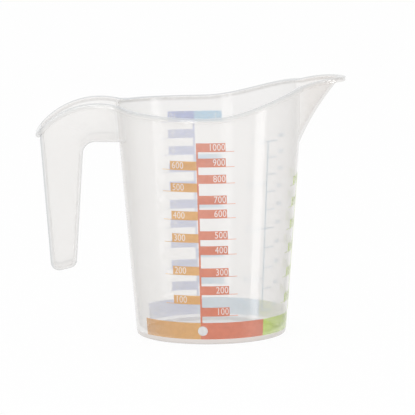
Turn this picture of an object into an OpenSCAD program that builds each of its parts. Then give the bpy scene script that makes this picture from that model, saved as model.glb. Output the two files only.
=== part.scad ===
// Clear plastic measuring jug with a rising pouring spout, a hollow hook handle that is open
// at its top edge, a skirted rim, and five printed colour scales round the cup.
// The cup's axis is Z and it stands on Z = 0. The spout points to +X and the handle to -X.

/* [Cup] */
// Outside diameter of the cup at its base plane
base_d = 94.2; // [86:0.1:100]
// Outside diameter of the cup at the low point of its rim
mouth_d = 117.2; // [112:0.1:124]
// Height of the rim at its low point
rim_low_h = 144; // [138:0.5:150]
// Thickness of the moulded walls
wall = 1.5; // [1.2:0.1:2]
// Height of the foot ring
foot_h = 2.5; // [1.5:0.1:4]
// Width of the foot ring
foot_w = 3.2; // [2.5:0.1:5]
// Rounding of the foot ring's outer edge
foot_round = 1.6; // [0.8:0.1:1.8]
// Thickness of the floor
floor_t = 1.8; // [1.4:0.1:2.6]

/* [Rim] */
// How far the rim flange stands out from the wall
lip_out = 2.6; // [2:0.1:4]
// Height of the flange with its skirt
lip_h = 3.0; // [2.4:0.1:5]
// Thickness of the flange and its skirt
lip_t = 1.2; // [0.8:0.1:1.5]
// How much the rim climbs from its low point to the spout's tip
spout_rise = 18.4; // [14:0.2:22]
// How much the rim climbs from its low point to the handle's side of the mouth
back_rise = 2.8; // [1:0.1:4]
// Where the rim's low point lies along the jug
rim_low_x = -2; // [-8:0.5:4]

/* [Spout] */
// Height of the spout, from the lowest point of its crease on the wall up to its tip
spout_h = 42.2; // [38:0.2:50]
// How far the spout's tip stands out from that lowest point
spout_reach = 26.8; // [20:0.2:32]

/* [Handle] */
// How far the handle's outer edge stands out from the cup's mouth, at the height of its crest
handle_out = 49.8; // [45:0.2:56]
// Distance from the cup's mouth to the handle's crest
crest_out = 11.4; // [9:0.2:16]
// How much the handle's crest stands above the rim's low point
crest_rise = 5.4; // [4:0.2:10]
// Radius of the handle's arched top edge
arch_r = 48.9; // [46:0.2:54]
// Height of the bridge that joins the handle to the cup, from its underside to the crest
bridge_h = 24.9; // [20:0.1:30]
// Height of the lower end of the grip
grip_bottom_h = 40.5; // [34:0.5:50]
// Depth of the grip from its outer edge to the side that faces the cup, at the underside
grip_depth = 27.3; // [22:0.1:30]
// Radius between the grip and the underside
grip_fillet = 8; // [6:0.5:10]
// Width of the handle across its walls where it meets the cup
handle_root_w = 40; // [34:0.5:44]
// Width of the handle across its walls at its outer edge
handle_end_w = 25; // [22:0.5:30]
// Rounding of the grip's upright edges
grip_round = 4.4; // [3.5:0.1:6]
// Rounding of the grip's lower end
grip_end_round = 4; // [2.5:0.1:5]

/* [Prints] */
// Thickness of the printed ink
ink_t = 0.15; // [0.1:0.01:0.3]
// Height of the printed colour band's lower edge
band_z = 3.4; // [2.6:0.1:5]
// Height of the printed colour band
band_h = 10.6; // [8:0.1:12]
// Height of the mark that stands for the full measure
full_mark_h = 127; // [118:0.5:129]
// Length of a printed block, measured round the wall
block_w = 18; // [12:0.5:19]
// Height of a printed block
block_h = 5.6; // [4:0.1:6]
// How far a mark's line runs on past its block
tick_run = 5.5; // [3:0.1:8]
// Thickness of a mark's line
tick_t = 0.5; // [0.3:0.05:0.8]
// Width of the upright line that carries a scale's blocks
spine_w = 1.1; // [0.6:0.1:2]
// Diameter of the bare disc on the near colour band
disc_d = 6.4; // [4:0.1:8]
// Height of the ribs of the scale moulded inside the wall
rib_t = 0.35; // [0.2:0.05:0.6]
// Width of those ribs
rib_w = 0.5; // [0.4:0.05:0.8]

/* [Hidden] */

$fn = 96;
round_steps = 6;
corner_steps = 4;
rim_steps = 76;
spout_levels = 14;
spout_steps = 18;

// Overrun of every cut past the face that it opens
cut_over = 2;
// Hairline gap between neighbouring patches of ink, and between the moulded ribs
ink_gap = 0.02;
// Height over which the grip's section steps out to the underside
underside_step = 0.05;
// Width over which the handle's arch runs smoothly into the cup's rim
rim_blend = 3;

// Angles of the printed scales, measured round the cup from the spout
sector_edge_angle = 47.5;
side_spine_angle = 99;
sector_end_angle = 150;
rib_spine_angle = 48.6;
// Lean of the grip's outer edge, taper of its inner edge and draft of the handle's side walls
grip_lean = 4;
grip_taper = 3.9;
handle_draft = 2.3;
// Turn of the disc about its own centre, which keeps its seam off the inks' shared edge
disc_seam = 30;
// Slope of the grip's lower end
grip_end_slope = 14;

// Share of the spout's reach that follows its height evenly, and how bluntly its nose is rounded
spout_even_share = 0.65;
nose_power = 1.8;
// Sideways and forward thickness of the spout's sloping wall, as shares of the wall
spout_side_share = 1.15;
spout_nose_share = 1.25;
// Height at which the spout's inside starts, as a share of the wall
spout_start_share = 3;
// How fast the spout's sides spread on into the cup
spout_flare_share = 0.42;

// Fill of the cup at each mark, as shares of the full measure
tenth_shares = [for (k = [1:10]) k / 10];
litre_shares = [1/8, 1/4, 1/2, 3/4, 1];
red_shares = [0.094, 0.192, 0.277, 0.387, 0.464, 0.578, 0.655, 0.773, 0.869, 0.961];
orange_shares = [0.148, 0.285, 0.449, 0.568, 0.724, 0.851];
green_shares = [for (k = [1:6]) k * 0.1183];

clear_plastic = [0.90, 0.90, 0.88, 0.55];
clear_edge = [0.84, 0.84, 0.83, 0.75];
orange_ink = [0.84, 0.60, 0.38];
red_ink = [0.82, 0.46, 0.38];
green_ink = [0.66, 0.76, 0.42];
blue_ink = [0.62, 0.76, 0.84];
violet_ink = [0.60, 0.62, 0.80];

// The cup's wall is a cone: its outside radius at a height
taper = (mouth_d - base_d) / 2 / rim_low_h;
function cup_r(z) = base_d / 2 + taper * z;
mouth_r = mouth_d / 2;
floor_z = foot_h + floor_t;
spout_top_h = rim_low_h + spout_rise;
spout_low_h = spout_top_h - spout_h;
spout_root_x = cup_r(spout_low_h);
handle_reach = mouth_r + handle_out;
crest_x = mouth_r + crest_out;
crest_h = rim_low_h + crest_rise;
underside_h = crest_h - bridge_h;
grip_inner_x = handle_reach - tan(grip_lean) * bridge_h - grip_depth;
rim_top_x = spout_root_x + spout_reach - wall;
top_h = rim_low_h + spout_rise + cut_over;

// Height at which the cup's inside is filled to a share of the full measure
function inner_r(z) = cup_r(z) - wall;
function fill_z(share) =
    let (low = pow(inner_r(floor_z), 3), high = pow(inner_r(full_mark_h), 3))
    (pow(low + share * (high - low), 1 / 3) - inner_r(0)) / taper;

// Height of the rim's top edge over a place along the jug: a shallow rise towards the handle,
// a smooth S up to the spout's tip, and the handle's arch, blended into one line
function ease(u) = let (c = min(max(u, 0), 1)) c * c * (3 - 2 * c);
function cup_rim_z(x) = rim_low_h + (x < rim_low_x
    ? back_rise * pow((x - rim_low_x) / (mouth_r + rim_low_x), 2)
    : spout_rise * ease((x - rim_low_x) / (rim_top_x - rim_low_x)));
function arch_z(x) =
    crest_h - arch_r + sqrt(max(pow(arch_r, 2) - pow(x + crest_x, 2), 0));
function soft_max(a, b, k) = max(a, b) + pow(max(k - abs(a - b), 0), 2) / (4 * k);
function rim_z(x) = x > 0 ? cup_rim_z(x)
    : x < -crest_x ? arch_z(x)
    : soft_max(arch_z(x), cup_rim_z(x), rim_blend * taper * 4);

// The rim's side profile, moved down square to itself by a depth
rim_from = -handle_reach - lip_out;
rim_to = spout_root_x + spout_reach + lip_out + cut_over;
function rim_point(x, depth) =
    let (d = (rim_to - rim_from) / rim_steps / 8,
         s = (rim_z(x + d) - rim_z(x - d)) / (2 * d),
         n = sqrt(1 + s * s))
    [x + depth * s / n, rim_z(x) - depth / n];
function rim_line(depth) =
    [for (i = [0:rim_steps]) rim_point(rim_from + (rim_to - rim_from) * i / rim_steps, depth)];
function reversed(a) = [for (i = [len(a) - 1:-1:0]) a[i]];

// Everything under the rim's profile at a depth
module under_rim(depth) {
    side_slab() polygon(concat(
        [[rim_from - cut_over, -cut_over]],
        [[rim_from - cut_over, rim_line(depth)[0][1]]],
        rim_line(depth),
        [[rim_to + cut_over, rim_line(depth)[rim_steps][1]]],
        [[rim_to + cut_over, -cut_over]]));
}

// The layer between the rim's profile and the same profile a flange's height lower
module rim_layer() {
    side_slab() polygon(concat(rim_line(0), reversed(rim_line(lip_h))));
}

// A side profile drawn in X and Z, as thick as the whole jug
module side_slab() {
    rotate([90, 0, 0]) linear_extrude(height = mouth_d + 4 * lip_out, center = true) children();
}

// A cone that follows the cup's wall at a distance
module cup_cone(grow, from_z, to_z) {
    rotate_extrude() polygon([
        [0, from_z], [cup_r(from_z) + grow, from_z], [cup_r(to_z) + grow, to_z], [0, to_z]]);
}

// A closed skin through rings of points, all of the same number, from the lowest ring up
module skin(rings) {
    n = len(rings[0]);
    last = len(rings) - 1;
    points = [for (ring = rings) each ring];
    sides = [for (k = [0:last - 1], i = [0:n - 1])
        let (a = k * n + i, b = k * n + (i + 1) % n) each [[a, b + n, b], [a, a + n, b + n]]];
    polyhedron(
        points = points,
        faces = concat([[for (i = [0:n - 1]) i]], sides,
                       [[for (i = [n - 1:-1:0]) last * n + i]]),
        convexity = 6);
}

// The spout: half its width at the root, and its nose, over a height
function root_half(z) = sqrt(max(pow(cup_r(z), 2) - pow(spout_root_x, 2), 0));
function nose_x(z) =
    let (u = (z - spout_low_h) / (spout_top_h - spout_low_h))
    spout_root_x + spout_reach * u * (spout_even_share + (1 - spout_even_share) * u);
function spout_ring(z, grow, back) =
    let (half = root_half(z) + grow * spout_side_share,
         run = nose_x(z) + grow * spout_nose_share - spout_root_x,
         spread = back * spout_flare_share)
    concat(
        [[spout_root_x - back, half + spread, z]],
        [for (j = [0:spout_steps])
            let (v = 1 - 2 * j / spout_steps)
            [spout_root_x + run * (1 - pow(abs(v), nose_power)), half * v, z]],
        [[spout_root_x - back, -half - spread, z]]);

// The spout's body, grown or shrunk, with its root drawn back into the cup by a distance
module spout_body(grow, back) {
    first = spout_low_h + max(-grow, underside_step) * spout_start_share;
    last = top_h + cut_over;
    skin([for (k = [0:spout_levels])
        reversed(spout_ring(first + (last - first) * k / spout_levels, grow, back))]);
}

// The handle: half its width at a place, and its outer and inner edges over a height
plan_taper = (handle_root_w - handle_end_w) / 2 / (handle_reach - mouth_r);
function handle_half(x, z) =
    handle_end_w / 2 + plan_taper * (x + handle_reach) - tan(handle_draft) * (crest_h - z);
function outer_edge(z) = -handle_reach + tan(grip_lean) * (crest_h - z);
function inner_edge(z) = -grip_inner_x - tan(grip_taper) * (underside_h - z);

// One level of the handle's body: a four-cornered ring with rounded corners, tipped up
// towards the cup by a slope
function handle_ring(z, left, right, grow, radius, slope) =
    [for (c = [[right, 1, 0], [left, 1, 90], [left, -1, 180], [right, -1, 270]],
          i = [0:corner_steps])
        let (a = c[2] + 90 * i / corner_steps,
             x = c[0] + radius * (cos(a) + (c[2] == 0 || c[2] == 270 ? -1 : 1)),
             y = c[1] * (handle_half(x, z) + grow - radius) + radius * sin(a))
        [x, y, z + slope * (x - left)]];

// The handle's body, grown or shrunk: its rounded lower end, the grip, the fillet under the
// bridge, and the bridge running into the cup
module handle_body(grow) {
    fillet_z = underside_h - grip_fillet;
    end_r = grip_end_round + grow / 2;
    low = grip_bottom_h - grow;
    corner = grip_round + grow / 2;
    arc = grip_fillet - grow;
    arc_x = inner_edge(fillet_z) + grip_fillet;
    slope = function (z) tan(grip_end_slope) * max(fillet_z - z, 0) / (fillet_z - low);
    skin(concat(
        [for (k = [0:corner_steps])
            let (a = 90 * k / corner_steps,
                 z = low + end_r * (1 - cos(a)),
                 inset = end_r * (1 - sin(a)))
            handle_ring(z, outer_edge(z) - grow + inset, inner_edge(z) + grow - inset,
                        grow - inset, corner, slope(z))],
        [for (k = [1:2])
            let (z = low + end_r + (fillet_z - low - end_r) * k / 3)
            handle_ring(z, outer_edge(z) - grow, inner_edge(z) + grow, grow, corner, slope(z))],
        [for (k = [0:round_steps])
            let (a = 90 * k / round_steps, z = fillet_z + arc * sin(a))
            handle_ring(z, outer_edge(z) - grow, arc_x - arc * cos(a), grow, corner, 0)],
        [for (z = [fillet_z + arc + underside_step, top_h])
            handle_ring(z, outer_edge(z) - grow, -mouth_r / 2, grow, corner, 0)]));
}

// The half of space on the spout's side of its root plane, from a height up
module spout_side(from_z = 0) {
    translate([spout_root_x, -mouth_d, from_z])
        cube([mouth_d, 2 * mouth_d, top_h + 2 * cut_over]);
}

// The part of the spout's body that lies outside its root plane
module spout_front(grow) {
    intersection() {
        spout_body(grow, wall);
        spout_side();
    }
}

// Conical wall of the cup, open at the spout's mouth
module cup_wall() {
    color(clear_plastic) difference() {
        intersection() {
            difference() {
                cup_cone(0, foot_h, top_h);
                cup_cone(-wall, foot_h - cut_over, top_h + cut_over);
            }
            under_rim(lip_t);
        }
        spout_body(-wall, 3 * wall);
        spout_side(spout_low_h + underside_step * spout_start_share);
    }
}

// Floor disc between the walls, on the foot ring
module cup_floor() {
    color(clear_plastic) cup_cone(-wall, foot_h, floor_z);
}

// Ring that the jug stands on, rounded at its outer edge
module foot_ring() {
    flat_r = cup_r(0) - foot_round;
    color(clear_edge) rotate_extrude() polygon(concat(
        [[flat_r + foot_round - foot_w - wall, 0]],
        [for (i = [0:round_steps])
            let (a = 90 * i / round_steps)
            [flat_r + foot_round * sin(a), foot_round * (1 - cos(a))]],
        [[cup_r(foot_h), foot_h], [cup_r(0) - foot_w - wall, foot_h]]));
}

// Skirted flange on the cup's own rim, stopping at the spout and round the handle's pocket
module rim_lip() {
    color(clear_edge) intersection() {
        rim_layer();
        difference() {
            cup_cone(lip_out, rim_low_h / 2, top_h);
            cup_cone(-wall, rim_low_h / 2 - cut_over, top_h + cut_over);
            intersection() {
                cup_cone(lip_out - lip_t, rim_low_h / 3, top_h);
                under_rim(lip_t);
            }
            spout_body(-wall, 3 * wall);
            spout_front(lip_out);
            difference() {
                handle_body(lip_out);
                cup_cone(0, rim_low_h / 3, top_h + cut_over);
            }
        }
    }
}

// Open pouring channel outside the cup's wall
module pouring_spout() {
    color(clear_plastic) difference() {
        intersection() {
            spout_front(0);
            under_rim(lip_t);
        }
        spout_body(-wall, 3 * wall);
    }
}

// Skirted flange round the spout's edge
module spout_lip() {
    color(clear_edge) difference() {
        intersection() {
            rim_layer();
            spout_front(lip_out);
        }
        spout_body(-wall, 3 * wall);
        intersection() {
            spout_body(lip_out - lip_t, 2 * wall);
            under_rim(lip_t);
        }
    }
}

// Hollow handle below its flange: walls, underside and closed lower end
module handle_shell() {
    difference() {
        intersection() {
            handle_body(0);
            under_rim(lip_t);
        }
        handle_body(-wall);
        cup_cone(0, foot_h, top_h + cut_over);
    }
}

// Where the handle's shell divides into the grip and the bridge: the end of the fillet
split_x = inner_edge(underside_h - grip_fillet) + grip_fillet;
module bridge_side() {
    translate([split_x, -mouth_d, -cut_over])
        cube([mouth_d, 2 * mouth_d, top_h + 2 * cut_over]);
}

// Trough that joins the grip to the cup
module handle_bridge() {
    color(clear_plastic) intersection() {
        handle_shell();
        bridge_side();
    }
}

// Hollow grip that hangs down beside the cup, closed at its lower end
module handle_grip() {
    color(clear_plastic) difference() {
        handle_shell();
        bridge_side();
    }
}

// Skirted flange round the handle's open top
module handle_lip() {
    color(clear_edge) intersection() {
        rim_layer();
        difference() {
            handle_body(lip_out);
            handle_body(-wall);
            intersection() {
                handle_body(lip_out - lip_t);
                under_rim(lip_t);
            }
            cup_cone(0, foot_h, top_h + cut_over);
        }
    }
}

// A thin patch on the wall: its start angle, its run round the wall, its heights, and its
// inner and outer faces counted from the wall's outside
module patch(angle, run, from_z, to_z, face_in = 0, face_out = ink_t) {
    turn = run / (cup_r(from_z) + face_in) * 180 / PI;
    rotate([0, 0, min(angle, angle + turn)]) rotate_extrude(angle = abs(turn)) polygon([
        [cup_r(from_z) + face_in, from_z], [cup_r(from_z) + face_out, from_z],
        [cup_r(to_z) + face_out, to_z], [cup_r(to_z) + face_in, to_z]]);
}

// A band of ink round the foot of the cup, between two angles
module band(from_angle, to_angle) {
    rotate([0, 0, from_angle]) rotate_extrude(angle = to_angle - from_angle) polygon([
        [cup_r(band_z), band_z], [cup_r(band_z) + ink_t, band_z],
        [cup_r(band_z + band_h) + ink_t, band_z + band_h], [cup_r(band_z + band_h), band_z + band_h]]);
}

// The upright line of a scale, from the band to its highest mark
spine_turn = spine_w / cup_r(band_z + band_h) * 180 / PI;
module spine(angle, share) {
    patch(angle - spine_turn / 2, spine_w, band_z + band_h + ink_gap, fill_z(share) + block_h);
}

// Blocks and lines of a scale on one side of its upright line: side is 1 or -1
module marks(angle, side, shares) {
    for (share = shares) {
        z = fill_z(share);
        degrees = side * 180 / PI / cup_r(z);
        start = angle + side * spine_turn / 2 + ink_gap * degrees;
        patch(start, side * block_w, z, z + block_h);
        patch(start + (block_w + ink_gap) * degrees, side * tick_run, z, z + tick_t);
    }
}

// The bare disc where the two near inks meet
module disc_hole() {
    rotate([0, 0, -side_spine_angle]) translate([cup_r(0) - wall, 0, band_z + band_h / 2])
        rotate([0, 90, 0]) rotate([0, 0, disc_seam]) cylinder(d = disc_d, h = 4 * wall);
}

// Near side, towards the handle
module orange_scale_print() {
    color(orange_ink) {
        difference() {
            band(-sector_end_angle, -side_spine_angle);
            disc_hole();
        }
        marks(-side_spine_angle, -1, orange_shares);
    }
}

// Near side, towards the spout, with the upright line that both near scales share
module red_scale_print() {
    color(red_ink) {
        difference() {
            band(-side_spine_angle, -sector_edge_angle);
            disc_hole();
        }
        spine(-side_spine_angle, red_shares[len(red_shares) - 1]);
        marks(-side_spine_angle, 1, red_shares);
    }
}

// Under the spout, with blocks on both sides of its upright line
module green_scale_print() {
    color(green_ink) {
        band(-sector_edge_angle, sector_edge_angle);
        spine(0, green_shares[len(green_shares) - 1]);
        marks(0, 1, green_shares);
        marks(0, -1, green_shares);
    }
}

// Far side, towards the spout
module blue_scale_print() {
    color(blue_ink) {
        band(sector_edge_angle, side_spine_angle);
        marks(side_spine_angle, -1, litre_shares);
    }
}

// Far side, towards the handle, with the upright line that both far scales share
module violet_scale_print() {
    color(violet_ink) {
        band(side_spine_angle, sector_end_angle);
        spine(side_spine_angle, 1);
        marks(side_spine_angle, 1, tenth_shares);
    }
}

// A rib on the inside of the wall
module rib(angle, run, from_z, to_z) {
    patch(angle, run, from_z, to_z, -wall - rib_t, -wall);
}

// Scale moulded on the inside of the near wall: tenths towards the spout, fractions away
module inner_scale_ribs() {
    degrees = 180 / PI / inner_r(floor_z);
    start = (rib_w / 2 + ink_gap) * degrees;
    color(clear_edge) {
        rib(-rib_spine_angle - rib_w / 2 * degrees, rib_w, fill_z(tenth_shares[0]), fill_z(1) + rib_w);
        for (share = tenth_shares)
            rib(-rib_spine_angle + start, tick_run, fill_z(share), fill_z(share) + rib_w);
        for (share = litre_shares)
            rib(-rib_spine_angle - start, -tick_run, fill_z(share), fill_z(share) + rib_w);
    }
}

cup_wall();
cup_floor();
foot_ring();
rim_lip();
pouring_spout();
spout_lip();
handle_bridge();
handle_grip();
handle_lip();
inner_scale_ribs();
orange_scale_print();
red_scale_print();
green_scale_print();
blue_scale_print();
violet_scale_print();
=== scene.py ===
import math

import bmesh
import bpy
import numpy as np
from mathutils import Matrix, Vector
from mathutils.kdtree import KDTree


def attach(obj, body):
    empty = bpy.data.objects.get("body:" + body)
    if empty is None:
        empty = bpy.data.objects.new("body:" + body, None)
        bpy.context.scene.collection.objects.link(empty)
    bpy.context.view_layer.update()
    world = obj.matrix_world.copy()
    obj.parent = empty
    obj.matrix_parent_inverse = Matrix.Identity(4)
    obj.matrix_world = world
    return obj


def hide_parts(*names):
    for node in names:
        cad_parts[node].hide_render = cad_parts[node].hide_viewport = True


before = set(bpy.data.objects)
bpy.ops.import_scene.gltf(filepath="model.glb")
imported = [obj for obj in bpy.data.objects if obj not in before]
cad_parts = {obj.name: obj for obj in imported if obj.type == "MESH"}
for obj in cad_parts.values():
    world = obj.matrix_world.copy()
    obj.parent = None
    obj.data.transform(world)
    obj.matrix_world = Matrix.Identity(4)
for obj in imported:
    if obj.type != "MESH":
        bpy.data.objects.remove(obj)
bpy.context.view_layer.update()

# Sizes below are in millimetres. MM turns them into the scene's metres.
MM = 0.001

# Cup
BASE_D = 94.2
MOUTH_D = 117.2
RIM_LOW_H = 144.0
WALL = 1.5
FOOT_H = 2.5
FOOT_W = 3.2
FOOT_ROUND = 1.6
FOOT_LIP = 0.4
FLOOR_T = 1.8
FLOOR_FILLET = 3.2

# Rim
LIP_OUT = 2.6
LIP_H = 3.0
LIP_T = 1.2
LIP_ROUND = 0.8
LIP_EDGE = 0.3
SKIRT_FADE = (0.5, 1.3)
EDGE_SOFT = 0.5
SPOUT_RISE = 18.4
BACK_RISE = 2.8
RIM_LOW_X = -2.0
RIM_BLEND = 3.0

# Spout
SPOUT_H = 42.2
SPOUT_REACH = 26.8
SPOUT_EVEN = 0.65
NOSE_POWER = 1.8
SPOUT_SIDE = 1.15
SPOUT_NOSE = 1.25
SPOUT_FLARE = 0.42
SPOUT_BACK = 14.0
SPOUT_START = 0.05
CHANNEL_START = 4.4
WEDGE_H = 3.4
WEDGE_LEAN = 0.46
WEDGE_WIDE = 1.6

# Handle
HANDLE_REACH = 108.4
CREST_X = 70.0
CREST_H = 149.4
ARCH_R = 48.9
UNDERSIDE_H = 124.5
GRIP_BOTTOM_H = 40.5
GRIP_DEPTH = 27.3
GRIP_FILLET = 8.0
HANDLE_ROOT_W = 40.0
HANDLE_END_W = 25.0
ROOT_ROUND = 10.0
GRIP_ROUND = 3.4
BRIDGE_ROUND = 2.4
GRIP_END_ROUND = 5.2
GRIP_LEAN = math.radians(4)
GRIP_TAPER = math.radians(3.9)
HANDLE_DRAFT = math.radians(2.3)
GRIP_END_SLOPE = math.radians(14)
POCKET_TOP_H = 2.0

# Prints
INK_T = 0.15
INK_LIFT = 0.02
BAND_Z = 3.4
BAND_H = 10.6
FULL_MARK_H = 127.0
NEAR_BLOCK_W = 17.2
FAR_BLOCK_W = 16.8
GREEN_FAR_BLOCK_W = 20.5
BLOCK_H = 5.6
TOP_BLOCK_H = 6.8
TOP_BLUE_BLOCK_W = 17.7
VIOLET_SLOPE = 0.03
TICK_RUN = 5.5
TICK_T = 0.3
NUMBER_H = 6.0
NUMBER_W = 0.84
NUMBER_SPACING = 1.06
ORANGE_MARGIN = 5.0
RED_MARGIN = 4.3
RED_TOP_MARGIN = 5.4
GREEN_MARGIN = 12.0
BLUE_MARGIN = 4.0
VIOLET_MARGIN = 3.4
SPINE_W = 1.1
DISC_D = 6.2
DISC_SHIFT = 1.2
NEAR_SLANT = 0.0045
STRIP_W = 1.6

# Raised scale inside the near wall
RIB_T = 0.35
RIB_W = 0.5
RIB_TICK_RUN = 8.0
RIB_SLANT = 0.0098
RIB_NUMBER_X = 12.8
RIB_NUMBER_RISE = 3.0
RIB_NUMBER_H = 3.4
RIB_NUMBER_W = 1.05
RIB_FRACTION_X = -12.4
RIB_FRACTION_RISE = 0.7
RIB_FRACTION_H = 5.5
RIB_FRACTION_W = 0.8

# Places round the wall, in degrees from the spout
SECTOR_EDGE = 48.7
SIDE_SPINE = 99.0
NEAR_SECTOR_END = 148.5
FAR_SECTOR_END = 144.5
RIB_SPINE = 49.8

# Each scale's marks, as shares of the volume up to the full mark
TENTHS = [k / 10 for k in range(1, 11)]
FRACTIONS = [("1/8", 1 / 8), ("1/4", 1 / 4), ("1/2", 1 / 2), ("3/4", 3 / 4), ("1", 1)]
RED_SHARES = [0.094, 0.192, 0.277, 0.387, 0.464, 0.578, 0.655, 0.773, 0.869, 0.961]
ORANGE_SHARES = [0.148, 0.285, 0.449, 0.568, 0.724, 0.851]
GREEN_SHARES = [k * 0.1183 for k in range(1, 7)]

TAPER = (MOUTH_D - BASE_D) / 2 / RIM_LOW_H
MOUTH_R = MOUTH_D / 2
FLOOR_Z = FOOT_H + FLOOR_T
SPOUT_TOP_H = RIM_LOW_H + SPOUT_RISE
SPOUT_LOW_H = SPOUT_TOP_H - SPOUT_H
SPOUT_ROOT_X = BASE_D / 2 + TAPER * SPOUT_LOW_H
RIM_TOP_X = SPOUT_ROOT_X + SPOUT_REACH - WALL
GRIP_INNER_X = HANDLE_REACH - math.tan(GRIP_LEAN) * (CREST_H - UNDERSIDE_H) - GRIP_DEPTH
PLAN_TAPER = (HANDLE_ROOT_W - HANDLE_END_W) / 2 / (HANDLE_REACH - MOUTH_R)

# How far down the shape that trims the rim reaches, and how far up the untrimmed forms do
LOW_H = -10.0
TOP_H = SPOUT_TOP_H + 8
# Steps in a round and round the cup, and the angle past which an edge stays sharp
ROUND_STEPS = 8
CUP_STEPS = 240
SMOOTH_ANGLE = math.radians(32)

# How much the handle's long edges close the plastic and take painted shade, for the light that
# they bend away, step by step from their side to their end face, outside and in the hollow
OUTER_DENSITY = [0, 0.05, 0.15, 0.5, 0.8, 0.8, 0.8, 0.6, 0.2]
HOLLOW_DENSITY = [0, 0, 0.1, 0.6, 0.6, 0.1, 0, 0, 0]
# The same round the handle's root, at shares of the way from the cup to the handle
ROOT_SHARES = [0, 0.4, 0.57, 0.66, 0.71, 0.74, 0.79, 0.86, 0.91, 0.96, 1]
ROOT_DENSITY = [0.1, 0.2, 0.25, 0.2, 0, 0.1, 0.5, 0.4, 0.2, 0.35, 0.2]
# And on the flange's skirt, where it runs along the handle
SKIRT_DENSITY = 0.35
# A point nearer than this to one of the flange's is the flange's own
OWN_POINT = 0.02
# How far a cut may lie from the handle's points to take their density
NEAR_POINT = 2.6

# Shares of the plastic's colour that are left in the foot (darker partly from the denser
# plastic, partly as painted shade near the floor), in the spout, on the inside as painted shade
# and where it is seen edge on as painted shade, and the painted shade colour for the light an
# edge bends away
FOOT_SHADE_TINT = (0.80, 0.75, 0.72)
SPOUT_TINT = (0.89, 0.86, 0.84)
INSIDE_SHADE = (0.85, 0.85, 0.85)
GRAZING_SHADE = (0.70, 0.70, 0.70)
EDGE_SHADE_COLOUR = (0.56, 0.585, 0.60, 1)
# Where the foot's tint fades out upwards, and the spout's fades in outwards, in metres
FOOT_FADE = (0.0036, 0.0030)
SPOUT_FADE = (0.054, 0.064)
# How far the foot, the edges and a grazing view close the plastic, and what the spout adds
FOOT_CLOSED = 0.75
EDGE_CLOSED = 0.75
GRAZING_CLOSED = 0.5
SPOUT_CLOSED = 0.06
DIGIT_COLOUR = (0.95, 0.91, 0.87, 1)
WHITE = (1, 1, 1, 1)

# The camera as fitted to the jug's outline and scales in the photograph: angles in radians,
# distance in metres, lens and shifts in pixels of the frame
CAMERA_AZIMUTH = -0.01966
CAMERA_ELEVATION = 0.150409
CAMERA_ROLL = -0.010756
CAMERA_DISTANCE = 3.22675
CAMERA_AIM = Vector((0, 0, 80 * MM))
CAMERA_LENS = 5102.2
CAMERA_SHIFT_X = -2.606
CAMERA_SHIFT_Y = -0.513
FRAME_SIZE = 415
SENSOR_W = 36

# Half the floor's width, and how far from the jug the cards stand
FLOOR_HALF = 9000
CARD_DISTANCE = 1500


# Shape rules

def cup_r(z):
    return BASE_D / 2 + TAPER * z


def fill_z(share):
    """The height up to which the cup holds a share of the full mark's volume."""
    low = (cup_r(FLOOR_Z) - WALL) ** 3
    high = (cup_r(FULL_MARK_H) - WALL) ** 3
    return ((low + share * (high - low)) ** (1 / 3) - (BASE_D / 2 - WALL)) / TAPER


def cup_rim_z(x):
    """The rim's height along the cup and the spout."""
    if x < RIM_LOW_X:
        return RIM_LOW_H + BACK_RISE * ((x - RIM_LOW_X) / (MOUTH_R + RIM_LOW_X)) ** 2
    u = min(max((x - RIM_LOW_X) / (RIM_TOP_X - RIM_LOW_X), 0), 1)
    return RIM_LOW_H + SPOUT_RISE * u * u * (3 - 2 * u)


def arch_z(x):
    return CREST_H - ARCH_R + math.sqrt(max(ARCH_R ** 2 - (x + CREST_X) ** 2, 0))


def rim_z(x):
    """The rim's height from the handle's arch to the spout's tip."""
    if x > 0:
        return cup_rim_z(x)
    if x < -CREST_X:
        return arch_z(x)
    a, b, k = arch_z(x), cup_rim_z(x), RIM_BLEND * TAPER * 4
    return max(a, b) + max(k - abs(a - b), 0) ** 2 / (4 * k)


RIM_XS = np.linspace(-HANDLE_REACH - 6, SPOUT_ROOT_X + SPOUT_REACH + 8, 420)
rim_tables = {}


def rim_table(depth):
    """The rim's side profile, moved down square to itself by a depth."""
    if depth not in rim_tables:
        line = []
        for x in RIM_XS:
            slope = (rim_z(x + 0.1) - rim_z(x - 0.1)) / 0.2
            n = math.hypot(1, slope)
            line.append((x + depth * slope / n, rim_z(x) - depth / n))
        rim_tables[depth] = np.array(line).T
    return rim_tables[depth]


def rim_height(x, depth):
    xs, zs = rim_table(depth)
    return float(np.interp(x, xs, zs))


def on_rim(place, depth):
    """The point of an upright surface, given as place(z) = (x, y), that lies under the rim."""
    z = RIM_LOW_H
    for _ in range(14):
        x, y = place(z)
        z = rim_height(x, depth)
    return x, y, z


def crossing(test, inside, outside):
    """The value between two where a test stops being true."""
    for _ in range(40):
        middle = (inside + outside) / 2
        if test(middle):
            inside = middle
        else:
            outside = middle
    return (inside + outside) / 2


def root_half(z):
    return math.sqrt(max(cup_r(z) ** 2 - SPOUT_ROOT_X ** 2, 0))


def nose_x(z):
    u = (z - SPOUT_LOW_H) / (SPOUT_TOP_H - SPOUT_LOW_H)
    return SPOUT_ROOT_X + SPOUT_REACH * u * (SPOUT_EVEN + (1 - SPOUT_EVEN) * u)


def spout_place(z, grow, turn):
    """A place on the spout's plan line: turn is 0 at the nose and 1 at the root, and runs on
    back into the cup past 1. Its sign is the side."""
    half = root_half(z) + grow * SPOUT_SIDE
    run = nose_x(z) + grow * SPOUT_NOSE - SPOUT_ROOT_X
    a = abs(turn)
    if a <= 1:
        x, y = SPOUT_ROOT_X + run * (1 - a ** NOSE_POWER), half * a
    else:
        t = (a - 1) * SPOUT_BACK
        x, y = SPOUT_ROOT_X - t, half + SPOUT_FLARE * t
    return x, math.copysign(y, turn)


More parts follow.
